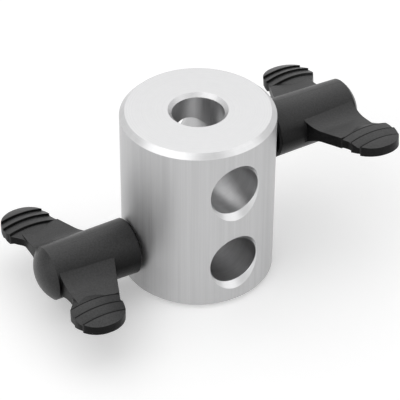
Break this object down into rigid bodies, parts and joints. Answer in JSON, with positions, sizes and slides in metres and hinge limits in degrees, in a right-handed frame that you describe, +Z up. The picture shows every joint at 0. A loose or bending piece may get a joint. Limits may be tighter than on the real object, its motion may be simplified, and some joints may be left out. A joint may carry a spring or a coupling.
{
  "type": "tube connector",
  "caption": "Round tube connector: cross bores and an end bore in a turned bar, with wing screws that clamp the tubes.",
  "frame": {"origin": "centre of the body's base", "axes": "+Z up the body's axis, +X out along the upper wing screw, cross bores along Y"},
  "size_m": [0.0844, 0.0486, 0.044],
  "materials": {
    "body": "drawn bar with turned ends, satin",
    "grip": "fine-grained moulding",
    "stud": "bright rolled thread"
  },
  "bodies": {
    "connector": {"connector_body": "body"},
    "upper_screw": {"upper_stud": "stud"},
    "upper_grip": {"upper_wing_grip": "grip"},
    "lower_screw": {"lower_stud": "stud"},
    "lower_grip": {"lower_wing_grip": "grip"}
  },
  "joints": [
    {"name": "upper_screw_travel", "type": "slide", "parent": "connector", "child": "upper_screw", "axis": [1, 0, 0], "range_m": [0, 0.0075]},
    {"name": "upper_screw_turn", "type": "hinge", "parent": "upper_screw", "child": "upper_grip", "pos_m": [0.0183, 0, 0.0318], "axis": [1, 0, 0], "range_deg": [0, 2700]},
    {"name": "lower_screw_travel", "type": "slide", "parent": "connector", "child": "lower_screw", "axis": [-1, 0, 0], "range_m": [0, 0.0075]},
    {"name": "lower_screw_turn", "type": "hinge", "parent": "lower_screw", "child": "lower_grip", "pos_m": [-0.0183, 0, 0.0118], "axis": [-1, 0, 0], "range_deg": [0, 2700]}
  ],
  "couplings": [
    {"joint": "upper_screw_travel", "follows": "upper_screw_turn", "m_per_rad": 0.00015915},
    {"joint": "lower_screw_travel", "follows": "lower_screw_turn", "m_per_rad": 0.00015915}
  ]
}
